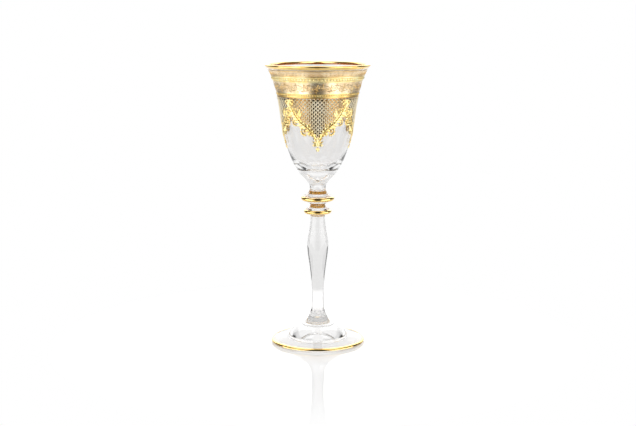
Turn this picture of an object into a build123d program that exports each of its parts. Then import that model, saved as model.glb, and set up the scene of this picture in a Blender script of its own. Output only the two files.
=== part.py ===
"""A gilded cordial glass on a baluster stem, in millimetres and degrees.

The glass stands on z = 0 with its axis on Z. Seven gathers of clear glass are fused end to end, and the gold
lies on them as thin fired films. Every film follows the outline of the glass under it.
"""

from build123d import *
import math
import os

# Foot: a wide disc with a round step in the middle
foot_radius = 25.1
foot_edge_thickness = 1.9
foot_rest_width = 9.6  # flat ring on which the glass stands
foot_hollow_depth = 2.2  # rise of the shallow dome inside that ring
foot_flange_rise = 2.2
foot_step_radius = 15.8
foot_step_rise = 5.6
foot_step_bulge = 0.7  # how far the step's shoulder swells past a straight cone

# Collar between foot and stem, stacked up from its flange
collar_flange_radius = 8.9
collar_flange_thickness = 0.6
collar_flare_rise = 1.65
collar_flare_hollow = 0.6  # how far the flare draws in from straight
collar_waist_radius = 6.0
collar_cone_rise = 4.2
collar_shoulder_radius = 4.1
collar_neck_rise = 1.65

# Baluster stem, stacked up from the collar
stem_foot_radius = 3.55
stem_foot_rise = 6.5
stem_thin_radius = 3.3
stem_taper_rise = 15.7
stem_taper_radius = 4.15
stem_swell_rise = 15.0
stem_swell_radius = 5.6
stem_neck_rise = 14.0
stem_neck_radius = 3.85

# Mereses: the two flat discs above the stem, each a rounded edge between two cones
lower_merese_under_rise = 1.5
lower_merese_edge = 2.0
lower_merese_radius = 7.3
lower_merese_over_rise = 2.5
merese_waist_radius = 3.9
upper_merese_under_rise = 2.4
upper_merese_edge = 2.3
upper_merese_radius = 8.75
upper_merese_over_rise = 2.0
merese_hollow = 0.4  # how far the cones draw in from straight

# Button between the mereses and the bowl
button_seat_radius = 5.0
button_lower_rise = 2.4
button_waist_radius = 4.2
button_upper_rise = 3.1

# Bowl: a bell with a solid base and a flared lip
bowl_seat_radius = 5.4
bowl_belly_rise = 38.0
bowl_throat_radius = 19.98
bowl_flare_rise = 24.7
bowl_rim_radius = 27.85
bowl_rim_thickness = 1.0
bowl_wall = 1.25  # at the throat
bowl_floor = 7.2  # solid glass under the inside
seat_angle = 68.8  # slopes of the outline, up from level
throat_angle = 83.4
rim_angle = 42.0
seat_pull = 3.06  # how far the curve holds each slope
belly_pull = 32.4
throat_pull = 3.36
rim_pull = 6.35
floor_pull = 8.74
inner_belly_pull = 30.8

# Gold bands, in order down from the rim
film_thickness = 0.1
film_gap = 0.005  # hairline between the gold and the glass that carries it
raised_gold_thickness = 0.22  # garlands, palmettes and flowers stand higher than the bands
rim_band_width = 1.85
rim_gap_width = 0.75  # bare glass between the rim band and the first frieze
upper_frieze_width = 3.1
leaf_band_width = 2.85
scroll_frieze_width = 5.75
bead_band_width = 2.4
merese_gold_width = 0.45  # reach of the gold in from the discs' edges
foot_gold_width = 1.3
foot_gold_clearance = 0.5  # bare glass between that gold and the table

# Swags: a lattice panel with a garland below it, repeated round the bowl
swag_count = 4
lattice_depth = 21.0
lattice_columns = 15  # openings across one swag
lattice_row_pitch = 2.0
lattice_opening_width = 1.3
lattice_opening_height = 1.3
lattice_margin = 0.3  # least gold left round an opening
cusp_drop = 4.6  # cusp of two garlands below the lattice's top
arm_bend_reach = 7.2  # side of the garland's arm where its curve turns over
arm_bend_rise = 5.4  # height of that place above the garland's tip
arm_bow = 1.1  # how far each half of the arm swings out of straight
arm_width = 0.9
leaf_length = 2.7
leaf_width = 1.35
leaf_pairs = 4  # on each half of an arm
leaf_splay = 42.0  # between a leaf and its arm
curl_radius = 1.55
curl_hole = 0.55
curl_offset = 1.9  # from the arm to a curl's middle
curl_place = 0.8  # along each half of an arm
palmette_leaves = 5
palmette_spread = 156.0
palmette_leaf_length = 3.4
palmette_leaf_width = 1.7
palmette_hub_radius = 0.85
palmette_drop = 0.7  # hub's middle below the garland's tip
flower_petals = 4
petal_length = 1.35
petal_width = 1.05
flower_eye_radius = 0.55
flower_drop = 5.7  # flower's middle below the garland's tip

# Levels, stacked up from the table
flange_level = foot_edge_thickness + foot_flange_rise
foot_top = flange_level + foot_step_rise
collar_flange_top = foot_top + collar_flange_thickness
collar_waist_level = collar_flange_top + collar_flare_rise
collar_shoulder_level = collar_waist_level + collar_cone_rise
collar_top = collar_shoulder_level + collar_neck_rise
stem_thin_level = collar_top + stem_foot_rise
stem_taper_level = stem_thin_level + stem_taper_rise
stem_swell_level = stem_taper_level + stem_swell_rise
stem_top = stem_swell_level + stem_neck_rise
lower_merese_top = stem_top + lower_merese_under_rise + lower_merese_edge + lower_merese_over_rise
upper_merese_top = lower_merese_top + upper_merese_under_rise + upper_merese_edge + upper_merese_over_rise
button_waist_level = upper_merese_top + button_lower_rise
button_top = button_waist_level + button_upper_rise
bowl_throat_level = button_top + bowl_belly_rise
bowl_top = bowl_throat_level + bowl_flare_rise

# Levels of the gold, stacked down from the rim
rim_band_foot = bowl_top - rim_band_width
upper_frieze_top = rim_band_foot - rim_gap_width
leaf_band_top = upper_frieze_top - upper_frieze_width
scroll_frieze_top = leaf_band_top - leaf_band_width
bead_band_top = scroll_frieze_top - scroll_frieze_width
lattice_top = bead_band_top - bead_band_width
garland_tip = lattice_top - lattice_depth
cusp_level = lattice_top - cusp_drop
swag_half_angle = 180 / swag_count
same_point = 1e-6  # points closer than this are one point
follow_points = 16  # steps in which a film follows each curve under it
whole_share = 0.999  # an opening has room when this much of it and its margin lies in its panel


def along(angle, length):
    """A step of the given length at an angle up from level."""
    return Vector(math.cos(math.radians(angle)), math.sin(math.radians(angle))) * length


def heading_at(curve, place):
    """The direction of a curve at a share of its length, up from level."""
    direction = curve % place
    return math.degrees(math.atan2(direction.Y, direction.X))


def closed_to_axis(edges):
    """The half section between an outline, which runs upwards, and the glass's axis."""
    low, high = edges[0] @ 0, edges[-1] @ 1
    corners = [high, Vector(0, high.Y), Vector(0, low.Y), low]
    sides = [Line(a, b) for a, b in zip(corners, corners[1:]) if (b - a).length > same_point]
    return make_face([*edges, *sides])


def turned(section):
    """The solid that a half section makes round the axis."""
    return revolve(Plane.XZ * section, Axis.Z)


def foot_section():
    edge = foot_edge_thickness / 2
    rest_outer = foot_radius - edge
    rest_inner = rest_outer - foot_rest_width
    hollow = TangentArc((0, foot_hollow_depth), (rest_inner, 0), tangent=(1, 0))
    rest = Line((rest_inner, 0), (rest_outer, 0))
    rim = ThreePointArc((rest_outer, 0), (foot_radius, edge), (rest_outer, foot_edge_thickness))
    flange = Line((rest_outer, foot_edge_thickness), (foot_step_radius, flange_level))
    step = SagittaArc(
        (foot_step_radius, flange_level), (collar_flange_radius, foot_top), -foot_step_bulge
    )
    return closed_to_axis([hollow, rest, rim, flange, step])


def collar_section():
    waist = Vector(collar_waist_radius, collar_waist_level)
    shoulder = Vector(collar_shoulder_radius, collar_shoulder_level)
    flange = Line((collar_flange_radius, foot_top), (collar_flange_radius, collar_flange_top))
    flare = SagittaArc((collar_flange_radius, collar_flange_top), waist, collar_flare_hollow)
    cone = Line(waist, shoulder)
    neck = Line(shoulder, (stem_foot_radius, collar_top))
    return closed_to_axis([flange, flare, cone, neck])


def stem_section():
    profile = Spline(
        (stem_foot_radius, collar_top),
        (stem_thin_radius, stem_thin_level),
        (stem_taper_radius, stem_taper_level),
        (stem_swell_radius, stem_swell_level),
        (stem_neck_radius, stem_top),
        tangents=[(0, 1), (0, 1)],
    )
    return closed_to_axis([profile])


def merese_section(bottom, seat_radius, under_rise, edge, radius, over_rise, neck_radius):
    """A disc with a rounded edge, on cones that draw in to its seat and its neck."""
    ring = radius - edge / 2
    low = bottom + under_rise
    high = low + edge
    under = SagittaArc((seat_radius, bottom), (ring, low), merese_hollow)
    rim = ThreePointArc((ring, low), (radius, (low + high) / 2), (ring, high))
    over = SagittaArc((ring, high), (neck_radius, high + over_rise), merese_hollow)
    return closed_to_axis([under, rim, over])


def lower_merese_section():
    return merese_section(
        stem_top, stem_neck_radius, lower_merese_under_rise, lower_merese_edge,
        lower_merese_radius, lower_merese_over_rise, merese_waist_radius,
    )


def upper_merese_section():
    return merese_section(
        lower_merese_top, merese_waist_radius, upper_merese_under_rise, upper_merese_edge,
        upper_merese_radius, upper_merese_over_rise, button_seat_radius,
    )


def button_section():
    profile = ThreePointArc(
        (button_seat_radius, upper_merese_top),
        (button_waist_radius, button_waist_level),
        (bowl_seat_radius, button_top),
    )
    return closed_to_axis([profile])


def bowl_curves():
    """The bowl's half outline in order: up the outside from its seat, over the lip and down the inside."""
    lip_round = bowl_rim_thickness / 2
    lip_middle = Vector(bowl_rim_radius - lip_round, bowl_top - lip_round)
    outer_lip = lip_middle + along(rim_angle - 90, lip_round)
    inner_lip = lip_middle + along(rim_angle + 90, lip_round)
    seat = Vector(bowl_seat_radius, button_top)
    throat = Vector(bowl_throat_radius, bowl_throat_level)
    inner_throat = throat + along(throat_angle + 90, bowl_wall)
    floor = Vector(0, button_top + bowl_floor)
    belly = Bezier(
        seat, seat + along(seat_angle, seat_pull), throat - along(throat_angle, belly_pull), throat
    )
    flare = Bezier(
        throat, throat + along(throat_angle, throat_pull),
        outer_lip - along(rim_angle, rim_pull), outer_lip,
    )
    lip = ThreePointArc(outer_lip, lip_middle + along(rim_angle, lip_round), inner_lip)
    inner_flare = Bezier(
        inner_lip, inner_lip - along(rim_angle, rim_pull),
        inner_throat + along(throat_angle, throat_pull), inner_throat,
    )
    inner_belly = Bezier(
        inner_throat, inner_throat - along(throat_angle, inner_belly_pull),
        floor + Vector(floor_pull, 0), floor,
    )
    return [belly, flare, lip, inner_flare, inner_belly]


def beside(curve, away):
    """A line that keeps a distance to the right of a curve all along it."""
    places = [i / follow_points for i in range(follow_points + 1)]
    points = [(curve @ t) + along(heading_at(curve, t) - 90, away) for t in places]
    return Spline(*points, tangents=[curve % 0, curve % 1])


def bowl_section(away=0.0):
    """The bowl's half section, grown by a distance where one is asked for."""
    curves = bowl_curves()
    if away:
        curves = [beside(curve, away) for curve in curves]
    return closed_to_axis(curves)


def gilding(grown_section, thickness, inner_radius, bottom, top):
    """A film over glass whose half section can be grown, between two levels and outside a radius."""
    reach = foot_radius + bowl_rim_radius
    window = Pos(inner_radius, bottom) * Rectangle(reach, top - bottom, align=Align.MIN)
    film = (grown_section(film_gap + thickness) - grown_section(film_gap)) & window
    return turned(film.faces().sort_by(Axis.X)[-1])


def bowl_film(thickness, bottom, top):
    return gilding(bowl_section, thickness, bowl_seat_radius, bottom, top)


def edge_film(section, radius, width, bottom, top):
    """The film on a disc's edge, reaching in by a width."""
    return gilding(lambda away: offset(section, away), film_thickness, radius - width, bottom, top)


def wall_radius(level):
    """The bowl's outer radius at a level."""
    low, high = 0.0, 1.0
    outline = Wire(bowl_curves()[:2])
    while high - low > same_point:
        middle = (low + high) / 2
        if (outline @ middle).Y < level:
            low = middle
        else:
            high = middle
    return (outline @ low).X


def leaf(base, angle, length, width):
    """A pointed leaf from its base, drawn in at both ends."""
    tip = base + along(angle, length)
    middle = (base + tip) / 2
    side = along(angle + 90, width / 2)
    return make_face([ThreePointArc(base, middle + side, tip), ThreePointArc(tip, middle - side, base)])


def arm_halves():
    """The two arcs of a garland's right arm, from its tip up to the cusp."""
    tip = Vector(0, garland_tip)
    bend = Vector(arm_bend_reach, garland_tip + arm_bend_rise)
    cusp = Vector(wall_radius(cusp_level) * math.sin(math.radians(swag_half_angle)), cusp_level)
    return [SagittaArc(tip, bend, -arm_bow), SagittaArc(bend, cusp, arm_bow)]


def arm_sketch():
    """The right arm of a garland, with its leaves and curls, drawn as seen from the front."""
    shapes = []
    holes = []
    for half, curl_side in zip(arm_halves(), (-1, 1)):
        shapes.append(SlotArc(half, arm_width))
        for pair in range(leaf_pairs):
            place = (pair + 1) / (leaf_pairs + 0.5)
            for side in (-1, 1):
                angle = heading_at(half, place) + side * leaf_splay
                shapes.append(leaf(half @ place, angle, leaf_length, leaf_width))
        middle = (half @ curl_place) + along(heading_at(half, curl_place) + 90 * curl_side, curl_offset)
        shapes.append(Pos(middle.X, middle.Y) * Circle(curl_radius))
        holes.append(Pos(middle.X, middle.Y) * Circle(curl_hole))
    return Sketch() + shapes - holes


def garland_sketch():
    arm = arm_sketch()
    return arm + mirror(arm, Plane.YZ)


def palmette_sketch():
    """Leaves fanned out below the garland's tip."""
    step = palmette_spread / (palmette_leaves - 1)
    angles = [-90 - palmette_spread / 2 + step * i for i in range(palmette_leaves)]
    base = Vector(0, garland_tip - palmette_drop)
    leaves = [leaf(base, a, palmette_leaf_length, palmette_leaf_width) for a in angles]
    return Pos(base.X, base.Y) * Circle(palmette_hub_radius) + leaves


def flower_sketch():
    middle = Vector(0, garland_tip - flower_drop)
    angles = [360 / flower_petals * i for i in range(flower_petals)]
    petals = [leaf(middle, a, petal_length, petal_width) for a in angles]
    return Pos(middle.X, middle.Y) * Circle(flower_eye_radius) + petals


def lattice_field():
    """The panel that a lattice fills, between its straight top and the garland's two arms."""
    arm = arm_halves()
    cusp = arm[-1] @ 1
    corner = Vector(wall_radius(lattice_top) * math.sin(math.radians(swag_half_angle)), lattice_top)
    right = make_face([*arm, Polyline(cusp, corner, (0, lattice_top), arm[0] @ 0)])
    return right + mirror(right, Plane.YZ)


def diamond(half_width, half_height):
    corners = (half_width, 0), (0, half_height), (-half_width, 0), (0, -half_height)
    return Polygon(*corners, align=None)


def lattice_openings(panel):
    """Diamond openings in even rows and columns round the bowl, where the panel has room for them."""
    column_angle = 2 * swag_half_angle / lattice_columns
    half_height = lattice_opening_height / 2
    openings = []
    for row in range(1, int(lattice_depth / lattice_row_pitch)):
        level = lattice_top - row * lattice_row_pitch
        for column in range(lattice_columns):
            angle = math.radians((column + 0.5) * column_angle - swag_half_angle)
            half_width = lattice_opening_width / 2 * math.cos(angle)
            place = Pos(wall_radius(level) * math.sin(angle), level)
            room = place * diamond(half_width + lattice_margin * math.cos(angle), half_height + lattice_margin)
            if (panel & room).area > whole_share * room.area:
                openings.append(place * diamond(half_width, half_height))
    return openings


def swag_shell(thickness):
    """A film all round the bowl from the bead band to below the flowers' lowest petals."""
    bottom = garland_tip - flower_drop - 2 * petal_length
    return bowl_film(thickness, bottom, lattice_top)


def laid_on(sketch, shell):
    """The piece of a film that a drawing covers on the front of the bowl, within one swag's share."""
    reach = bowl_rim_radius * 2
    side = reach * math.tan(math.radians(swag_half_angle))
    wedge = make_face(Polyline((0, 0), (-side, -reach), (side, -reach), close=True))
    return shell & extrude(wedge, bowl_top) & extrude(Plane.XZ * sketch, reach)


def swag_pieces():
    garland = garland_sketch()
    palmette = palmette_sketch() - garland
    panel = Sketch() + (lattice_field() - garland - palmette).faces().sort_by(SortBy.AREA)[-1]
    lattice = panel - lattice_openings(panel)
    raised = swag_shell(raised_gold_thickness)
    return {
        "lattice_panel": laid_on(lattice, swag_shell(film_thickness)),
        "garland": laid_on(garland, raised),
        "palmette": laid_on(palmette, raised),
        "drop_flower": laid_on(flower_sketch(), raised),
    }


pieces = {
    "foot": turned(foot_section()),
    "foot_collar": turned(collar_section()),
    "stem": turned(stem_section()),
    "lower_merese": turned(lower_merese_section()),
    "upper_merese": turned(upper_merese_section()),
    "bowl_button": turned(button_section()),
    "bowl": turned(bowl_section()),
    "rim_gold_band": bowl_film(film_thickness, rim_band_foot, bowl_top + film_gap + film_thickness),
    "upper_frieze": bowl_film(film_thickness, leaf_band_top, upper_frieze_top),
    "leaf_band": bowl_film(film_thickness, scroll_frieze_top, leaf_band_top),
    "scroll_frieze": bowl_film(film_thickness, bead_band_top, scroll_frieze_top),
    "bead_band": bowl_film(film_thickness, lattice_top, bead_band_top),
    "lower_merese_gold": edge_film(
        lower_merese_section(), lower_merese_radius, merese_gold_width, stem_top, lower_merese_top
    ),
    "upper_merese_gold": edge_film(
        upper_merese_section(), upper_merese_radius, merese_gold_width, lower_merese_top, upper_merese_top
    ),
    "foot_gold_edge": edge_film(
        foot_section(), foot_radius, foot_gold_width, foot_gold_clearance, foot_top
    ),
}
for name, piece in swag_pieces().items():
    for i in range(swag_count):
        pieces[f"{name}_{i + 1}"] = Rot(0, 0, 360 / swag_count * i) * piece

os.makedirs("parts", exist_ok=True)
for name, piece in pieces.items():
    export_step(piece, f"parts/{name}.step")
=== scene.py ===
import bisect
import math

import bmesh
import bpy
from mathutils import Matrix, Vector
from mathutils.geometry import interpolate_bezier


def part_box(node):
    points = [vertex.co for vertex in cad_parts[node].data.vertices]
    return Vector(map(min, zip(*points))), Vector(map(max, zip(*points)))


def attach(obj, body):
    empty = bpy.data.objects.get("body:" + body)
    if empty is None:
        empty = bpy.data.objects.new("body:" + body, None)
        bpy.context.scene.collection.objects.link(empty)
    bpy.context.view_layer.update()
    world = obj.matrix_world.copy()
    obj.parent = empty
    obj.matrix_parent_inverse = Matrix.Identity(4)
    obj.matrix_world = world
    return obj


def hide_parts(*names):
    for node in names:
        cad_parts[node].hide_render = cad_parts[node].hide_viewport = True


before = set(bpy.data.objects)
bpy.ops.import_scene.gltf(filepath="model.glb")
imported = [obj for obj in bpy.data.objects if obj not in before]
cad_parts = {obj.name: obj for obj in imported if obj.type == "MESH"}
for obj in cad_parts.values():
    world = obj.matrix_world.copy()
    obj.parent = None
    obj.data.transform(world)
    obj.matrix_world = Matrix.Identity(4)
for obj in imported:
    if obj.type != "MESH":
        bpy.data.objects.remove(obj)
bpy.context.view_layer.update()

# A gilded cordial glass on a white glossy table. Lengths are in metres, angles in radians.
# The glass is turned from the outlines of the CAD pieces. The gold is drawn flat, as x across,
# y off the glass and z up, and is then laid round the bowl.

mm = 0.001
same_point = 0.0005 * mm  # points nearer than this count as one
turn_steps = 144  # flat faces round a turned piece
corner_angle = math.radians(10.5)  # an outline that turns more than this at a point has a corner there
crease_angle = math.radians(25)  # faces that meet at more than this have a sharp edge
outline_spacing = 0.35 * mm  # between points of a smooth outline

# Gold
film_rise = 0.1 * mm  # height of thin gold above the glass
film_root = 0.03 * mm  # how deep the gold is fired into the glass
fillet_width = 0.42 * mm  # of the round-backed lines beside the bands
fillet_rise = 0.12 * mm
fillet_points = 7  # along the round back of a line
drawing_radius = 20 * mm  # the flat drawings are true to size at this radius of the bowl
swag_count = len([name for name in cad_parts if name.startswith("garland_")])
swag_turn = 2 * math.pi / swag_count
arch_count = 72
hanging_leaf_count = 88
scroll_count = 20
bead_count = 110
petal_count = 5
arm_leaves = 24  # along each side of a garland's arm
scroll_leaves = 7  # round each rolled-up stalk of a garland
scroll_eye = 0.22  # radius at which a scroll ends, as a share of that at which it starts
lattice_columns = 60  # diamonds round the bowl
lattice_row = 2.0 * mm  # height of a diamond
lattice_cells = 64  # diamonds along each side of the net before it is cut to the swag
lattice_line = 0.22 * mm  # width of the sloping side of a ridge between two studs
lattice_ridge = 0.14 * mm  # height of the ridges above the studs
lattice_opening = 0.5 * mm  # how far an opening reaches from its crossing along the ridges
rim_inside = 0.9 * mm  # how far the rim's gold goes down the inside of the bowl
foot_edge_bottom = 0.8 * mm  # level at which the gold on the foot's edge starts
foot_edge_width = 1.4 * mm  # how far that gold reaches in from the edge

# Scrolls and sprays of a garland's arm. Places across and up from the garland's tip and sizes are in mm.
arm_scrolls = (  # across, up, radius, angle at which it starts, turns
    (7.6, 3.6, 2.0, 2.3, -1.5),
    (4.6, 6.9, 1.0, -1.7, 1.4),
    (13.0, 8.2, 1.6, 2.3, -1.5),
    (12.0, 13.6, 1.8, -1.2, 1.6),
    (14.1, 18.3, 1.6, -1.6, 1.5),
)
arm_sprays = (  # across, up, heading, angle between two leaves, lengths of the leaves
    (10.2, 10.6, 1.75, 0.36, (3.4, 5.4, 4.2)),
    (15.0, 14.2, -1.4, 0.5, (2.6, 3.6, 3.0)),
    (15.5, 16.2, 1.6, 0.42, (3.2, 4.6, 4.4, 3.4)),
    (4.4, 3.6, -1.3, 0.5, (1.8, 2.6, 2.4)),
)
arm_places = ((1.0, 0.0), (2.6, 2.6), (5.4, 5.6), (9.2, 8.0), (12.6, 11.8), (15.3, 16.6))  # of its stalk
tip_rise = 0.65 * mm  # of the garland's tip above the bottom of its CAD piece

# Finishes
cloud_scale = 260.0  # patches of deeper and brighter gold, in patches to the metre
cloud_low = 0.35  # level of the clouds at which the gold is deepest
cloud_high = 0.65  # level at which it is brightest
fine_grain = 2600.0  # grains to the metre
finest_grain = 5200.0
grain_roughness = 0.16  # how much rougher the grain makes the gold at most
grain_depth = 0.1 * mm
wave_scale = 55.0  # unevenness of the glass
wave_strength = 0.05
wave_depth = 0.5 * mm
crystal_colour = (0.98, 0.975, 0.97, 1)
crystal_ior = 1.52

# Camera, as fitted to the photograph
photo_width = 636  # pixels
focal_pixels = 1269  # focal length in pixels of the photograph
sensor_width = 36.0  # mm
camera_distance = 671 * mm
camera_height = 183.3 * mm
camera_tilt = math.radians(9.55)
camera_side = 0.13 * mm

inner_reflections = 16  # how often light may be turned back inside the glass

# Table
table_front = -0.145
table_back = 6.0
table_side = 0.36  # half its width
table_level = -0.05 * mm  # just under the foot
table_colour = (0.82, 0.82, 0.82, 1)
table_roughness = 0.05
table_lift = 0.18  # glow that keeps the table white to the camera
table_lift_in_glass = 0.1  # the same for what is seen through the glass
fade_start = 0.09  # distance from the origin at which the table starts to turn into the background
fade_end = 0.145
background_in_glass = 0.86  # level at which the glass shows the background, which is 1 to the camera

# Lights. The stops give degrees round from the front, the same to both sides, and the light at each.
soft_box = 2.4  # light of the boxes at both sides
box_top = 0.25  # sine of the height at which they start to end
box_top_edge = 0.1  # over which they fade out
box_stops = ((0, 0.04), (16, 0.04), (44, 1.0), (92, 1.0), (99, 0.03), (180, 0.03))
box_through_glass = 0.42  # share of their light that the glass shows
ceiling_light = 2.15
ceiling_lean = math.radians(30)  # towards the back
ceiling_start = 0.42  # sine of the height at which the ceiling starts
ceiling_full = 0.58
ceiling_through_glass = 0.376
ceiling_stops = (  # dark gaps in the ceiling, which the gold shows
    (0, 0.05), (30, 0.05), (44, 1.0), (80, 1.0), (92, 0.05), (128, 0.05), (140, 1.0), (180, 1.0),
)
window_stops = ((0, 0.0), (124, 0.0), (132, 0.8), (180, 0.8))  # white that only the glass shows
backdrop_stops = ((0, 0.0), (150, 0.0), (160, 1.0), (180, 1.0))


def level_of(node, top):
    """The level of a CAD piece's top or bottom."""
    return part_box(node)[1 if top else 0].z


# Outlines

def half_outline(node):
    """The (radius, level) points of a turned CAD piece, from the axis under it round to the axis over it."""
    bm = bmesh.new()
    bm.from_mesh(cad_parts[node].data)
    bmesh.ops.remove_doubles(bm, verts=bm.verts, dist=same_point)
    for normal, cut_only in (((0, 1, 0), True), ((1, 0, 0), False)):
        bmesh.ops.bisect_plane(
            bm, geom=bm.verts[:] + bm.edges[:] + bm.faces[:], dist=same_point, plane_co=(0, 0, 0),
            plane_no=normal, clear_inner=True, clear_outer=cut_only,
        )
    vert = min((v for v in bm.verts if len(v.link_edges) == 1), key=lambda v: v.co.z)
    edge = None
    points = []
    while vert:
        points.append(Vector((vert.co.x, vert.co.z)))
        edge = next((e for e in vert.link_edges if e != edge), None)
        vert = edge.other_vert(vert) if edge else None
    bm.free()
    return without_disc(without_disc(points)[::-1])[::-1]


def without_disc(points):
    """An outline whose flat joint disc, where it starts with one, has only its middle and its rim."""
    flat = 0
    while abs(points[flat + 1].y - points[0].y) < same_point:
        flat += 1
    return points[:1] + points[max(flat, 1):]


def turn_at(points, i):
    """The angle by which an outline turns at one of its inner points."""
    return (points[i] - points[i - 1]).angle(points[i + 1] - points[i])


def smooth_run(points):
    """Closely spaced points on a smooth curve through a run of points without corners."""
    if len(points) < 3:
        return points
    spans = [(b - a).length for a, b in zip(points, points[1:])]
    slopes = [(b - a) / span for a, b, span in zip(points, points[1:], spans)]
    inner = [
        (slopes[i - 1] * spans[i] + slopes[i] * spans[i - 1]) / (spans[i - 1] + spans[i])
        for i in range(1, len(spans))
    ]
    tangents = [2 * slopes[0] - inner[0], *inner, 2 * slopes[-1] - inner[-1]]
    run = [points[0]]
    for i, span in enumerate(spans):
        a, b = points[i], points[i + 1]
        count = 2 + int(span / outline_spacing)
        handles = a + tangents[i] * span / 3, b - tangents[i + 1] * span / 3
        run.extend(interpolate_bezier(a, *handles, b, count)[1:])
    return run


def smooth_outline(node):
    """A turned CAD piece's outline, smooth between its corners."""
    points = half_outline(node)
    corners = [i for i in range(1, len(points) - 1) if turn_at(points, i) > corner_angle]
    stops = [0, *corners, len(points) - 1]
    outline = points[:1]
    for a, b in zip(stops, stops[1:]):
        outline.extend(smooth_run(points[a:b + 1])[1:])
    return outline


def moved_out(points, away):
    """An outline moved to its right, which is away from the glass."""
    moved = []
    for i, point in enumerate(points):
        way = (points[min(i + 1, len(points) - 1)] - points[max(i - 1, 0)]).normalized()
        moved.append(point + Vector((way.y, -way.x)) * away)
    return moved


def coat_section(points):
    """The closed section of a thin coat of gold on a stretch of an outline."""
    return moved_out(points, film_rise) + moved_out(points, -film_root)[::-1]


outlines = {
    node: smooth_outline(node)
    for node in ("foot", "foot_collar", "stem", "lower_merese", "upper_merese", "bowl_button", "bowl")
}
bowl_outline = outlines["bowl"]
widest = max(range(len(bowl_outline)), key=lambda i: bowl_outline[i].x)
bowl_wall = bowl_outline[1:widest + 1]
wall_levels = [point.y for point in bowl_wall]


def wall_at(level):
    """The point of the bowl's outside at a level, and the direction away from the glass there."""
    i = min(max(bisect.bisect(wall_levels, level), 1), len(bowl_wall) - 1)
    low, high = bowl_wall[i - 1], bowl_wall[i]
    way = (high - low).normalized()
    return low.lerp(high, (level - low.y) / (high.y - low.y)), Vector((way.y, -way.x))


def on_bowl(across, level, lift):
    """The place in space of a point of the flat drawings."""
    point, out = wall_at(level)
    point = point + out * lift
    angle = across / drawing_radius
    return Vector((point.x * math.sin(angle), -point.x * math.cos(angle), point.y))


# Making meshes

def spin_round(bm, points, closed=False):
    """Turns an outline round the axis."""
    verts = [bm.verts.new((p.x, 0, p.y)) for p in points]
    pairs = list(zip(verts, verts[1:]))
    if closed:
        pairs.append((verts[-1], verts[0]))
    edges = [bm.edges.new(pair) for pair in pairs]
    bmesh.ops.spin(
        bm, geom=verts + edges, cent=(0, 0, 0), axis=(0, 0, 1), angle=2 * math.pi,
        steps=turn_steps, use_merge=True,
    )


def tidy(bm):
    """Merges doubled points, turns the faces outwards and marks the creases."""
    bmesh.ops.remove_doubles(bm, verts=bm.verts, dist=same_point)
    bmesh.ops.recalc_face_normals(bm, faces=bm.faces)
    for face in bm.faces:
        face.smooth = True
    for edge in bm.edges:
        edge.smooth = edge.calc_face_angle(0) < crease_angle


def piece(name, bm, slot, *materials, node):
    """Makes an object of what a bmesh holds."""
    tidy(bm)
    mesh = bpy.data.meshes.new(name)
    bm.to_mesh(mesh)
    bm.free()
    return placed(name, mesh, materials, node)


def placed(name, mesh, materials, node):
    """An object of a finished mesh, which stands for a CAD node and moves with the part."""
    thing = bpy.data.objects.new(name, mesh)
    bpy.context.scene.collection.objects.link(thing)
    for material in materials:
        if material.name not in mesh.materials:
            mesh.materials.append(material)
    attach(thing, "root")
    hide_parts(node)
    return thing


def lay_on_bowl(bm):
    """Bends a flat drawing round the bowl."""
    for vert in bm.verts:
        vert.co = on_bowl(vert.co.x, vert.co.z, vert.co.y)


def repeat_round(bm, count):
    """Copies what a mesh holds so that it stands a number of times round the axis."""
    motif = bm.verts[:] + bm.edges[:] + bm.faces[:]
    for i in range(1, count):
        copies = bmesh.ops.duplicate(bm, geom=motif)["geom"]
        verts = [part for part in copies if isinstance(part, bmesh.types.BMVert)]
        turn = Matrix.Rotation(2 * math.pi * i / count, 3, "Z")
        bmesh.ops.rotate(bm, verts=verts, cent=(0, 0, 0), matrix=turn)


# Drawing the gold

def step(angle, length):
    """A step in the flat drawing, at an angle up from level."""
    return Vector((math.cos(angle), math.sin(angle))) * length


def draw_leaf(bm, base, angle, length, width, bend=0.0, rise=0.3 * mm):
    """A pointed leaf with a swelling back, which may bend to its left towards its tip."""
    verts = bmesh.ops.create_uvsphere(bm, u_segments=8, v_segments=6, radius=1)["verts"]
    for vert in verts:
        share = (vert.co.z + 1) / 2
        pinch = math.sqrt(max(1 - vert.co.z ** 2, 0))
        across = vert.co.x * pinch * width / 2
        off = vert.co.y * pinch * rise
        spot = base + step(angle, share * length) + step(angle + math.pi / 2, across + bend * share ** 2)
        vert.co = Vector((spot.x, off, spot.y))


def draw_bead(bm, middle, radius, rise):
    """A round bead, flattened onto the glass."""
    verts = bmesh.ops.create_uvsphere(bm, u_segments=8, v_segments=6, radius=1)["verts"]
    for vert in verts:
        vert.co = Vector((middle.x + vert.co.x * radius, vert.co.y * rise, middle.y + vert.co.z * radius))


def draw_stalk(bm, points, width, rise, taper=0.5, sides=1):
    """A round-backed stalk along a smooth line, which thins towards its end."""
    curve = bpy.data.curves.new("stalk", "CURVE")
    curve.dimensions = "3D"
    curve.bevel_depth = width / 2
    curve.bevel_resolution = sides
    curve.use_fill_caps = True
    curve.resolution_u = 3
    spline = curve.splines.new("NURBS")
    spline.points.add(len(points) - 1)
    for i, (spot, knot) in enumerate(zip(points, spline.points)):
        knot.co = (spot.x, 0, spot.y, 1)
        knot.radius = 1 - (1 - taper) * i / (len(points) - 1)
    spline.order_u = 4
    spline.use_endpoint_u = True
    holder = bpy.data.objects.new("stalk", curve)
    mesh = bpy.data.meshes.new_from_object(holder)
    mesh.transform(Matrix.Diagonal((1, rise / (width / 2), 1, 1)))
    bm.from_mesh(mesh)
    bpy.data.objects.remove(holder)
    bpy.data.curves.remove(curve)
    bpy.data.meshes.remove(mesh)


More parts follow.
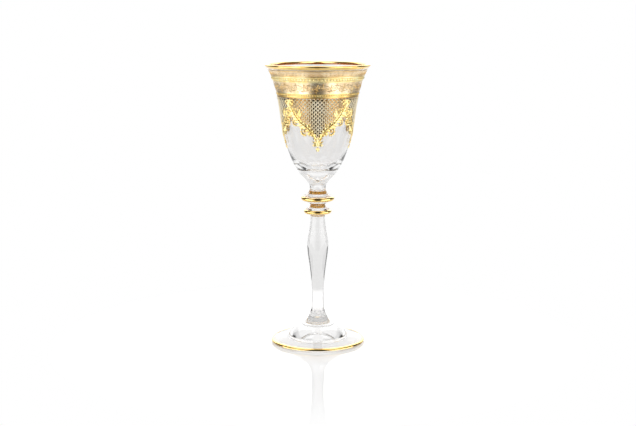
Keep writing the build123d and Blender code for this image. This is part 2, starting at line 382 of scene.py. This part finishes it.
def curl(middle, radius, start, turns, steps_per_turn=9):
    """Points of a scroll that winds in to its eye. Negative turns wind clockwise."""
    count = int(abs(turns) * steps_per_turn)
    return [
        middle + step(start + 2 * math.pi * turns * i / count, radius * (1 - (1 - scroll_eye) * i / count))
        for i in range(count + 1)
    ]


def mirrored(bm):
    """Adds the mirror image of a flat drawing across its middle."""
    geom = bm.verts[:] + bm.edges[:] + bm.faces[:]
    copies = bmesh.ops.duplicate(bm, geom=geom)["geom"]
    verts = [part for part in copies if isinstance(part, bmesh.types.BMVert)]
    bmesh.ops.scale(bm, vec=(-1, 1, 1), verts=verts)


# Materials

def new_material(name):
    """A material and its shader."""
    material = bpy.data.materials.new(name)
    material.use_nodes = True
    return material, material.node_tree.nodes["Principled BSDF"]


def linked(tree, kind, inputs=None, **settings):
    """A node with its settings, whose inputs are set to values or linked from sockets."""
    node = tree.nodes.new(kind)
    for key, value in settings.items():
        setattr(node, key, value)
    for key, value in (inputs or {}).items():
        if isinstance(value, bpy.types.NodeSocket):
            tree.links.new(value, node.inputs[key])
        else:
            node.inputs[key].default_value = value
    return node


def fired_gold_group():
    """Uneven colour, roughness and grain of fired gold, from the place on the object."""
    group = bpy.data.node_groups.new("fired_gold", "ShaderNodeTree")
    sockets = group.interface
    sockets.new_socket("Place", in_out="INPUT", socket_type="NodeSocketVector")
    sockets.new_socket("Deep", in_out="INPUT", socket_type="NodeSocketColor")
    sockets.new_socket("Bright", in_out="INPUT", socket_type="NodeSocketColor")
    sockets.new_socket("Polish", in_out="INPUT", socket_type="NodeSocketFloat")
    sockets.new_socket("Grain", in_out="INPUT", socket_type="NodeSocketFloat")
    sockets.new_socket("Color", in_out="OUTPUT", socket_type="NodeSocketColor")
    sockets.new_socket("Roughness", in_out="OUTPUT", socket_type="NodeSocketFloat")
    sockets.new_socket("Height", in_out="OUTPUT", socket_type="NodeSocketFloat")
    given = group.nodes.new("NodeGroupInput").outputs
    clouds = linked(
        group, "ShaderNodeTexNoise",
        {"Vector": given["Place"], "Scale": cloud_scale, "Detail": 4.0},
    )
    grain = linked(
        group, "ShaderNodeTexNoise",
        {"Vector": given["Place"], "Scale": given["Grain"], "Detail": 2.0},
    )
    tone = linked(
        group, "ShaderNodeMapRange",
        {"Value": clouds.outputs["Fac"], "From Min": cloud_low, "From Max": cloud_high},
    )
    colour = linked(
        group, "ShaderNodeMix",
        {"Factor": tone.outputs["Result"], "A": given["Deep"], "B": given["Bright"]},
        data_type="RGBA",
    )
    rough = linked(
        group, "ShaderNodeMath",
        {0: grain.outputs["Fac"], 1: grain_roughness, 2: given["Polish"]}, operation="MULTIPLY_ADD",
    )
    linked(
        group, "NodeGroupOutput",
        {
            "Color": colour.outputs["Result"],
            "Roughness": rough.outputs["Value"],
            "Height": grain.outputs["Fac"],
        },
    )
    return group


def gold(name, group, deep, bright, polish, grain, relief):
    """A gold finish: its two colours, its least roughness, and the fineness and depth of its grain."""
    material, shader = new_material(name)
    tree = material.node_tree
    place = tree.nodes.new("ShaderNodeTexCoord").outputs["Object"]
    fired = linked(
        tree, "ShaderNodeGroup",
        {"Place": place, "Deep": (*deep, 1), "Bright": (*bright, 1), "Polish": polish, "Grain": grain},
        node_tree=group,
    )
    bump = linked(
        tree, "ShaderNodeBump",
        {"Height": fired.outputs["Height"], "Strength": relief, "Distance": grain_depth},
    )
    shader.inputs["Metallic"].default_value = 1.0
    tree.links.new(fired.outputs["Color"], shader.inputs["Base Color"])
    tree.links.new(fired.outputs["Roughness"], shader.inputs["Roughness"])
    tree.links.new(bump.outputs["Normal"], shader.inputs["Normal"])
    return material


def crystal():
    """Clear glass with the faint unevenness of hand work, which lets the light through to the table."""
    material, shader = new_material("crystal")
    tree = material.node_tree
    place = tree.nodes.new("ShaderNodeTexCoord").outputs["Object"]
    waves = linked(tree, "ShaderNodeTexNoise", {"Vector": place, "Scale": wave_scale, "Detail": 1.0})
    bump = linked(
        tree, "ShaderNodeBump",
        {"Height": waves.outputs["Fac"], "Strength": wave_strength, "Distance": wave_depth},
    )
    tree.links.new(bump.outputs["Normal"], shader.inputs["Normal"])
    shader.inputs["Base Color"].default_value = crystal_colour
    shader.inputs["Roughness"].default_value = 0.0
    shader.inputs["IOR"].default_value = crystal_ior
    shader.inputs["Transmission Weight"].default_value = 1.0
    path = tree.nodes.new("ShaderNodeLightPath")
    light_through = linked(
        tree, "ShaderNodeMixShader",
        {0: path.outputs["Is Shadow Ray"], 1: shader.outputs["BSDF"],
         2: tree.nodes.new("ShaderNodeBsdfTransparent").outputs["BSDF"]},
    )
    tree.links.new(light_through.outputs["Shader"], tree.nodes["Material Output"].inputs["Surface"])
    return material


def weld():
    """The joint inside the glass where two gathers have fused, which nobody can see."""
    material, shader = new_material("weld")
    shader.inputs["Alpha"].default_value = 0.0
    return material


gold_group = fired_gold_group()
burnished = gold(
    "burnished_gold", gold_group, deep=(0.94, 0.61, 0.18), bright=(1.0, 0.76, 0.32),
    polish=0.01, grain=fine_grain, relief=0.05,
)
raised = gold(
    "raised_gold", gold_group, deep=(0.96, 0.70, 0.26), bright=(1.0, 0.84, 0.42),
    polish=0.1, grain=fine_grain, relief=0.1,
)
satin = gold(
    "satin_gold", gold_group, deep=(1.0, 0.78, 0.34), bright=(1.0, 0.92, 0.56),
    polish=0.38, grain=fine_grain, relief=0.1,
)
etched = gold(
    "etched_gold", gold_group, deep=(0.84, 0.62, 0.36), bright=(1.0, 0.84, 0.57),
    polish=0.16, grain=finest_grain, relief=0.2,
)
# Painted highlight: a paler copy of the gold for the lattice's ridges, standing in for the light they catch.
ridge_painted_highlight = gold(
    "ridge_painted_highlight", gold_group, deep=(1.0, 0.86, 0.59), bright=(1.0, 0.94, 0.74),
    polish=0.42, grain=finest_grain, relief=0.1,
)
beaded = gold(
    "beaded_gold", gold_group, deep=(0.98, 0.66, 0.20), bright=(1.0, 0.82, 0.36),
    polish=0.12, grain=fine_grain, relief=0.1,
)
# Painted shade: a darker copy of the gold, standing in for the dark that the gold reflects.
shaded_gold = gold(
    "painted_shade_gold", gold_group, deep=(0.56, 0.34, 0.11), bright=(0.84, 0.57, 0.23),
    polish=0.2, grain=fine_grain, relief=0.1,
)
# Painted shade: a dark copy of the gold for the lattice's studs, standing in for the dark they reflect.
stud_painted_shade = gold(
    "stud_painted_shade", gold_group, deep=(0.30, 0.17, 0.05), bright=(0.46, 0.28, 0.10),
    polish=0.02, grain=finest_grain, relief=0.05,
)
clear = crystal()
fused = weld()


# Glass

def make_glass(node):
    """One turned gather of glass, whose flat joints show no surface."""
    bm = bmesh.new()
    spin_round(bm, outlines[node])
    joints = joint_levels(outlines[node])
    for face in bm.faces:
        flat = max(v.co.z for v in face.verts) - min(v.co.z for v in face.verts) < same_point
        near_axis = min(v.co.xy.length for v in face.verts) < same_point
        if flat and near_axis and any(abs(face.verts[0].co.z - level) < same_point for level in joints):
            face.material_index = 1
    piece(f"{node}_glass", bm, "crystal", clear, fused, node=node)


def joint_levels(outline):
    """The levels at which an outline starts or ends with a flat disc."""
    ends = ((outline[0], outline[1]), (outline[-1], outline[-2]))
    return [middle.y for middle, rim in ends if abs(middle.y - rim.y) < same_point]


for node in outlines:
    make_glass(node)


# Gold bands

def wall_run(bottom, top):
    """Points of the bowl's outside between two levels."""
    count = max(int((top - bottom) / outline_spacing), 3)
    return [wall_at(bottom + (top - bottom) * i / count)[0] for i in range(count + 1)]


def add_fillet(bm, level, width=fillet_width, rise=fillet_rise):
    """A round-backed line of gold round the bowl."""
    section = []
    for i in range(fillet_points):
        angle = math.pi * i / (fillet_points - 1)
        point, out = wall_at(level - math.cos(angle) * width / 2)
        section.append(point + out * (math.sin(angle) * rise + film_rise / 2))
    spin_round(bm, section, closed=True)


def make_ground(node, material, slot):
    """The thin coat of gold of a band round the bowl."""
    bm = bmesh.new()
    spin_round(bm, coat_section(wall_run(level_of(node, False), level_of(node, True))), closed=True)
    piece(f"{node}_ground", bm, slot, material, node=node)


def make_edge_gold(name, node, glass, keep):
    """The coat of gold on the stretch of a turned edge that keep picks out."""
    bm = bmesh.new()
    gilded = [point for i, point in enumerate(outlines[glass]) if keep(i, point)]
    spin_round(bm, coat_section(gilded), closed=True)
    piece(name, bm, "burnished_gold", burnished, node=node)


def make_rim_band():
    """The gold over the bowl's lip, which goes further down outside than inside."""
    outside = level_of("rim_gold_band", False)
    inside = level_of("bowl", True) - rim_inside
    make_edge_gold(
        "rim_gold_band_coat", "rim_gold_band", "bowl",
        lambda i, point: point.y > (outside if i <= widest else inside),
    )


def make_disc_edges():
    """The gold on the edges of the two discs and of the foot."""
    for glass in ("lower_merese", "upper_merese"):
        node = f"{glass}_gold"
        low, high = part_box(node)
        make_edge_gold(f"{node}_coat", node, glass, lambda i, point: low.z < point.y < high.z)
    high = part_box("foot_gold_edge")[1]
    make_edge_gold(
        "foot_gold_edge_coat", "foot_gold_edge", "foot",
        lambda i, point: foot_edge_bottom < point.y < high.z and point.x > high.x - foot_edge_width,
    )


def make_upper_frieze():
    """Small arches with a sprig in each, between two lines."""
    node = "upper_frieze"
    bottom, top = level_of(node, False), level_of(node, True)
    make_ground(node, etched, "etched_gold")
    pitch = 2 * math.pi * drawing_radius / arch_count
    bm = bmesh.new()
    foot = bottom + 0.55 * mm
    spring = foot + 1.0 * mm
    crown = foot + 1.75 * mm
    half_span = 0.44 * pitch
    half_crown = 0.2 * pitch
    arch = [
        Vector((-half_span, foot)), Vector((-half_span, spring)), Vector((-half_crown, crown)),
        Vector((half_crown, crown)), Vector((half_span, spring)), Vector((half_span, foot)),
    ]
    draw_stalk(bm, arch, width=0.2 * mm, rise=0.17 * mm, taper=1.0, sides=0)
    root = Vector((0, foot + 0.05 * mm))
    for tilt, length in ((-0.75, 0.85 * mm), (0.0, 1.2 * mm), (0.75, 0.85 * mm)):
        draw_leaf(bm, root, math.pi / 2 + tilt, length, width=0.4 * mm, rise=0.18 * mm)
    lay_on_bowl(bm)
    repeat_round(bm, arch_count)
    add_fillet(bm, bottom + 0.28 * mm)
    add_fillet(bm, top - 0.22 * mm)
    # The arches, sprigs and lines are in the darker gold of painted shade.
    piece("upper_frieze_arches", bm, "burnished_gold", shaded_gold, node=node)


def make_leaf_band():
    """Leaves hanging side by side from a bright line, with a bead between each two."""
    node = "leaf_band"
    bottom, top = level_of(node, False), level_of(node, True)
    make_ground(node, raised, "burnished_gold")
    pitch = 2 * math.pi * drawing_radius / hanging_leaf_count
    bm = bmesh.new()
    root = Vector((0, top - 0.65 * mm))
    between_leaves = Vector((pitch / 2, bottom + 0.75 * mm))
    draw_leaf(bm, root, -math.pi / 2, length=1.7 * mm, width=1.1 * pitch, rise=0.55 * mm)
    draw_bead(bm, between_leaves, radius=0.24 * mm, rise=0.2 * mm)
    lay_on_bowl(bm)
    repeat_round(bm, hanging_leaf_count)
    add_fillet(bm, top - 0.4 * mm, width=0.75 * mm, rise=0.2 * mm)
    add_fillet(bm, bottom + 0.22 * mm)
    piece("leaf_band_leaves", bm, "burnished_gold", satin, node=node)


def make_scroll_frieze():
    """A running scroll: stalks that roll up to both sides in turn, each to a bead, with leaves."""
    node = "scroll_frieze"
    bottom, top = level_of(node, False), level_of(node, True)
    middle = (bottom + top) / 2
    make_ground(node, etched, "etched_gold")
    pitch = 2 * math.pi * drawing_radius / scroll_count
    half = pitch / 2
    bm = bmesh.new()
    for side in (-1, 1):
        centre = Vector((side * half / 2, middle + side * 0.35 * mm))
        tail = Vector((centre.x - half * 0.95, middle - side * 1.75 * mm))
        wind = curl(centre, radius=1.5 * mm, start=-side * math.pi / 2, turns=side * 1.6)
        draw_stalk(bm, [tail, *wind], width=0.36 * mm, rise=0.22 * mm, taper=0.6)
        draw_bead(bm, centre, radius=0.34 * mm, rise=0.26 * mm)
        for tilt, length in ((2.2, 1.4 * mm), (0.9, 1.2 * mm), (-0.5, 1.1 * mm)):
            root = centre + step(side * tilt, 1.45 * mm)
            draw_leaf(
                bm, root, side * (tilt + 0.5), length, width=0.55 * mm,
                bend=side * 0.2 * mm, rise=0.22 * mm,
            )
        draw_leaf(
            bm, Vector((0, middle)), side * math.pi / 2, length=1.9 * mm, width=0.6 * mm, rise=0.2 * mm,
        )
    lay_on_bowl(bm)
    repeat_round(bm, scroll_count)
    # The scrolls are in the darker gold of painted shade.
    piece("scroll_frieze_scrolls", bm, "burnished_gold", shaded_gold, node=node)


def make_bead_band():
    """A row of beads between two lines."""
    node = "bead_band"
    bottom, top = level_of(node, False), level_of(node, True)
    # The band's ground is in the darker gold of painted shade.
    make_ground(node, shaded_gold, "burnished_gold")
    bm = bmesh.new()
    middle = Vector((0, (bottom + top) / 2 + 0.3 * mm))
    draw_bead(bm, middle, radius=0.42 * mm, rise=0.3 * mm)
    lay_on_bowl(bm)
    repeat_round(bm, bead_count)
    add_fillet(bm, bottom + 0.8 * mm)
    add_fillet(bm, top - 0.22 * mm)
    piece("bead_band_beads", bm, "burnished_gold", beaded, node=node)


# Swags

def swag(name, bm, slot, *materials):
    """Places one copy of a flat drawing's mesh on each side of the bowl."""
    lay_on_bowl(bm)
    tidy(bm)
    first = bpy.data.meshes.new(f"{name}_1")
    bm.to_mesh(first)
    bm.free()
    for i in range(swag_count):
        mesh = first if i == 0 else first.copy()
        mesh.transform(Matrix.Rotation(swag_turn * i, 4, "Z"))
        placed(f"{name}_{i + 1}_gold", mesh, materials, f"{name}_{i + 1}")


lattice_top = level_of("lattice_panel_1", True)
garland_tip = level_of("garland_1", False) + tip_rise


def arm_place(across, up):
    """A place in the flat drawing, from millimetres across and up from the garland's tip."""
    return Vector((across * mm, garland_tip + up * mm))


arm_line = [arm_place(across, up) for across, up in arm_places]


def arm_level(across):
    """The level of the garland's arm at a distance across from its tip."""
    for a, b in zip(arm_line, arm_line[1:]):
        if across <= b.x:
            return a.y + (b.y - a.y) * max(across - a.x, 0) / (b.x - a.x)
    return arm_line[-1].y


def make_lattice():
    """A net of gold ridges, with a flat stud in each diamond and an opening at each crossing."""
    half_wide = math.pi * drawing_radius / lattice_columns
    half_tall = lattice_row / 2
    bm = bmesh.new()
    bmesh.ops.create_grid(bm, x_segments=lattice_cells, y_segments=lattice_cells, size=lattice_cells / 2)
    to_diamonds = Matrix(((half_wide, -half_wide, 0), (0, 0, 0), (half_tall, half_tall, 0)))
    for vert in bm.verts:
        vert.co = to_diamonds @ vert.co + Vector((0, film_rise + lattice_ridge, lattice_top))
    edge = swag_turn / 2 * drawing_radius
    outside = []
    for face in bm.faces:
        middle = face.calc_center_median()
        beyond = middle.x < -edge - same_point or middle.x > edge - same_point
        too_high = middle.z > lattice_top - same_point
        if beyond or too_high or middle.z < arm_level(abs(middle.x)):
            outside.append(face)
    bmesh.ops.delete(bm, geom=outside, context="FACES")
    crossings = [vert for vert in bm.verts if not vert.is_boundary]
    cut = bmesh.ops.bevel(
        bm, geom=crossings, offset=lattice_opening, affect="VERTICES", segments=1, profile=0.5, material=-1,
    )
    bmesh.ops.delete(bm, geom=cut["faces"], context="FACES_ONLY")
    for face in bm.faces:
        face.normal_update()
        if face.normal.y < 0:
            face.normal_flip()
    studs = bm.faces[:]
    bmesh.ops.inset_individual(bm, faces=studs, thickness=lattice_line, depth=-lattice_ridge)
    # The studs take the dark gold of painted shade; the ridges keep the paler gold of painted highlight.
    for face in studs:
        face.material_index = 1
    bmesh.ops.solidify(bm, geom=bm.faces[:], thickness=film_rise)
    swag("lattice_panel", bm, "etched_gold", ridge_painted_highlight, stud_painted_shade)


def draw_scroll(bm, across, up, radius, start, turns):
    """A stalk rolled up to a bead, with small leaves round its outside."""
    middle = arm_place(across, up)
    radius = radius * mm
    way = math.copysign(1, turns)
    # The leaves follow the roll at even angles, each a little further in than the one before.
    for i in range(scroll_leaves):
        angle = start + way * (0.3 + 0.62 * i)
        root = middle + step(angle, radius * (0.8 - 0.04 * i))
        draw_leaf(
            bm, root, angle + way * 0.35, length=0.75 * radius, width=0.6 * radius, rise=0.32 * mm,
        )
    draw_stalk(bm, curl(middle, radius, start, turns), width=0.36 * radius, rise=0.42 * mm, taper=0.7)
    draw_bead(bm, middle, radius=0.26 * radius, rise=0.5 * mm)


def draw_spray(bm, across, up, heading, spread, lengths):
    """Leaves that fan out from one place."""
    root = arm_place(across, up)
    for i, length in enumerate(lengths):
        tilt = spread * (i - (len(lengths) - 1) / 2)
        draw_leaf(
            bm, root, heading + tilt, length * mm, width=1.2 * mm,
            bend=0.25 * tilt * mm, rise=0.4 * mm,
        )


def draw_arm(bm):
    """The right arm of a garland: a stalk with leaves on both sides, longer below, and scrolls and sprays."""
    draw_stalk(bm, arm_line, width=0.8 * mm, rise=0.55 * mm, taper=0.8)
    for i in range(arm_leaves):
        share = (i + 0.6) / arm_leaves
        spot, heading = along_arm(share)
        fullness = 0.6 + 0.5 * math.sin(math.pi * share)  # the leaves are longest half-way along
        for side, long in ((1, 2.3 * mm), (-1, 3.6 * mm)):
            # Every other leaf is longer and stands out more from the stalk.
            tilt, length = (0.95, long) if i % 2 else (0.5, 0.8 * long)
            draw_leaf(
                bm, spot, heading + side * tilt, length * fullness, width=1.3 * mm,
                bend=-side * 0.6 * mm, rise=0.4 * mm,
            )
    for scroll in arm_scrolls:
        draw_scroll(bm, *scroll)
    for spray in arm_sprays:
        draw_spray(bm, *spray)


def along_arm(share):
    """The place and heading at a share of the arm's line."""
    lengths = [(b - a).length for a, b in zip(arm_line, arm_line[1:])]
    rest = share * sum(lengths)
    for a, b, length in zip(arm_line, arm_line[1:], lengths):
        if rest <= length:
            way = b - a
            return a + way * rest / length, math.atan2(way.y, way.x)
        rest -= length


def make_garland():
    """Two arms that rise from the tip of the swag."""
    bm = bmesh.new()
    draw_arm(bm)
    mirrored(bm)
    swag("garland", bm, "burnished_gold", raised)


def make_palmette():
    """Leaves that fan out upwards from a root with two small curls."""
    bm = bmesh.new()
    root = Vector((0, level_of("palmette_1", False) + 0.35 * mm))
    for i in range(-3, 4):
        length = (5.0 - 0.17 * i * i) * mm
        draw_leaf(
            bm, root, math.pi / 2 + 0.44 * i, length, width=1.2 * mm,
            bend=0.12 * i * mm, rise=0.42 * mm,
        )
    for side in (-1, 1):
        middle = root + Vector((side * 1.7 * mm, 0.3 * mm))
        wind = curl(middle, radius=0.8 * mm, start=math.pi / 2, turns=-side * 1.2)
        draw_stalk(bm, wind, width=0.5 * mm, rise=0.45 * mm, taper=0.7)
        draw_leaf(
            bm, middle, math.pi / 2 - side * 1.9, length=1.4 * mm, width=0.8 * mm, rise=0.36 * mm,
        )
    draw_bead(bm, root, radius=0.6 * mm, rise=0.5 * mm)
    swag("palmette", bm, "burnished_gold", raised)


def make_drop_flower():
    """Petals round a bead."""
    bm = bmesh.new()
    low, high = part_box("drop_flower_1")
    middle = Vector((0, (low.z + high.z) / 2))
    for i in range(petal_count):
        angle = math.pi / 2 + 2 * math.pi * i / petal_count
        draw_leaf(bm, middle, angle, length=(high.z - low.z) / 2, width=1.35 * mm, rise=0.4 * mm)
    draw_bead(bm, middle, radius=0.45 * mm, rise=0.5 * mm)
    swag("drop_flower", bm, "burnished_gold", raised)


make_rim_band()
make_disc_edges()
make_upper_frieze()
make_leaf_band()
make_scroll_frieze()
make_bead_band()
make_lattice()
make_garland()
make_palmette()
make_drop_flower()


# Studio

def math_of(tree, operation, first, second):
    """The result of a maths node on two values or sockets."""
    return linked(tree, "ShaderNodeMath", {0: first, 1: second}, operation=operation).outputs["Value"]


def between(tree, value, start, end, low, high):
    """A value that goes from low to high while another goes from start to end."""
    ends = {"From Min": start, "From Max": end, "To Min": low, "To Max": high}
    return linked(tree, "ShaderNodeMapRange", {"Value": value, **ends}).outputs["Result"]


def make_table():
    """A white glossy table, which turns into the white background away from the glass.

    It does so for the camera, in reflections and through the glass, and not for the light it throws back.
    """
    material, shader = new_material("white_table")
    tree = material.node_tree
    path = tree.nodes.new("ShaderNodeLightPath").outputs
    camera_ray, glossy_ray = path["Is Camera Ray"], path["Is Glossy Ray"]
    through_glass = path["Is Transmission Ray"]
    shader.inputs["Base Color"].default_value = table_colour
    shader.inputs["Roughness"].default_value = table_roughness
    shader.inputs["Emission Color"].default_value = (1, 1, 1, 1)
    lift_in_glass = math_of(tree, "MULTIPLY", through_glass, table_lift_in_glass)
    lift = math_of(tree, "ADD", math_of(tree, "MULTIPLY", camera_ray, table_lift), lift_in_glass)
    tree.links.new(lift, shader.inputs["Emission Strength"])
    place = tree.nodes.new("ShaderNodeTexCoord").outputs["Object"]
    distance = linked(tree, "ShaderNodeVectorMath", {0: place}, operation="LENGTH").outputs["Value"]
    away = linked(
        tree, "ShaderNodeMapRange",
        {"Value": distance, "From Min": fade_start, "From Max": fade_end}, interpolation_type="SMOOTHSTEP",
    ).outputs["Result"]
    fade = math_of(tree, "MULTIPLY", away, math_of(tree, "MAXIMUM", camera_ray, glossy_ray))
    background = between(tree, through_glass, 0.0, 1.0, 1.0, background_in_glass)
    white = linked(tree, "ShaderNodeEmission", {"Strength": background}).outputs["Emission"]
    surface = linked(tree, "ShaderNodeMixShader", {0: fade, 1: shader.outputs["BSDF"], 2: white})
    tree.links.new(surface.outputs["Shader"], tree.nodes["Material Output"].inputs["Surface"])
    bm = bmesh.new()
    bmesh.ops.create_grid(bm, x_segments=1, y_segments=1, size=1)
    bmesh.ops.scale(bm, vec=(table_side, (table_back - table_front) / 2, 1), verts=bm.verts)
    bmesh.ops.translate(bm, vec=(0, (table_back + table_front) / 2, table_level), verts=bm.verts)
    mesh = bpy.data.meshes.new("table")
    bm.to_mesh(mesh)
    bm.free()
    table = bpy.data.objects.new("table", mesh)
    bpy.context.scene.collection.objects.link(table)
    mesh.materials.append(material)


def ramp(tree, share, stops):
    """A grey that follows the angle from the front, given in degrees with the grey at each."""
    node = tree.nodes.new("ShaderNodeValToRGB")
    tree.links.new(share, node.inputs["Fac"])
    elements = node.color_ramp.elements
    while len(elements) < len(stops):
        elements.new(0.5)
    for element, (degrees, light) in zip(elements, stops):
        element.position = degrees / 180
        element.color = (light, light, light, 1)
    return node.outputs["Color"]


def make_world():
    """A white studio: soft boxes at both sides, a ceiling of panels that leans back and a dark room in front.

    The glass shows the boxes and the ceiling dimmer than the gold does, the ceiling without its gaps, and
    a white window behind the object. The camera sees only white.
    """
    world = bpy.data.worlds.new("studio")
    bpy.context.scene.world = world
    world.use_nodes = True
    tree = world.node_tree
    path = tree.nodes.new("ShaderNodeLightPath").outputs
    through_glass = path["Is Transmission Ray"]
    place = tree.nodes.new("ShaderNodeTexCoord").outputs["Generated"]
    way = linked(tree, "ShaderNodeSeparateXYZ", {"Vector": place}).outputs
    side = linked(tree, "ShaderNodeMath", {0: way["X"]}, operation="ABSOLUTE").outputs["Value"]
    angle = math_of(tree, "ARCTAN2", side, math_of(tree, "MULTIPLY", way["Y"], -1.0))
    share = math_of(tree, "DIVIDE", angle, math.pi)

    below_top = between(tree, way["Z"], box_top, box_top + box_top_edge, soft_box, 0.0)
    boxes = math_of(tree, "MULTIPLY", ramp(tree, share, box_stops), below_top)
    box_share = between(tree, through_glass, 0.0, 1.0, 1.0, box_through_glass)
    seen_boxes = math_of(tree, "MULTIPLY", boxes, box_share)

    upwards = math_of(tree, "MULTIPLY", way["Z"], math.cos(ceiling_lean))
    backwards = math_of(tree, "MULTIPLY", way["Y"], math.sin(ceiling_lean))
    height = math_of(tree, "ADD", upwards, backwards)
    overhead = between(tree, height, ceiling_start, ceiling_full, 0.0, ceiling_light)
    panels = math_of(tree, "MAXIMUM", ramp(tree, share, ceiling_stops), through_glass)
    ceiling = math_of(tree, "MULTIPLY", overhead, panels)
    ceiling_share = between(tree, through_glass, 0.0, 1.0, 1.0, ceiling_through_glass)
    seen_ceiling = math_of(tree, "MULTIPLY", ceiling, ceiling_share)

    window = math_of(tree, "MULTIPLY", ramp(tree, share, window_stops), through_glass)
    backdrop = ramp(tree, share, backdrop_stops)
    level = seen_boxes
    for other in (seen_ceiling, window, backdrop, path["Is Camera Ray"]):
        level = math_of(tree, "MAXIMUM", level, other)
    background = tree.nodes["Background"]
    background.inputs["Color"].default_value = (1, 1, 1, 1)
    tree.links.new(level, background.inputs["Strength"])


def make_camera():
    """A camera at the photograph's viewing angle."""
    camera = bpy.data.cameras.new("camera")
    camera.sensor_width = sensor_width
    camera.lens = focal_pixels * sensor_width / photo_width
    holder = bpy.data.objects.new("camera", camera)
    holder.location = (camera_side, -camera_distance, camera_height)
    holder.rotation_euler = (math.pi / 2 - camera_tilt, 0, 0)
    bpy.context.scene.collection.objects.link(holder)
    bpy.context.scene.camera = holder


make_table()
make_world()
make_camera()
bpy.context.scene.view_settings.view_transform = "Standard"
bpy.context.scene.cycles.max_bounces = 2 * inner_reflections
bpy.context.scene.cycles.glossy_bounces = inner_reflections
bpy.context.scene.cycles.transmission_bounces = inner_reflections
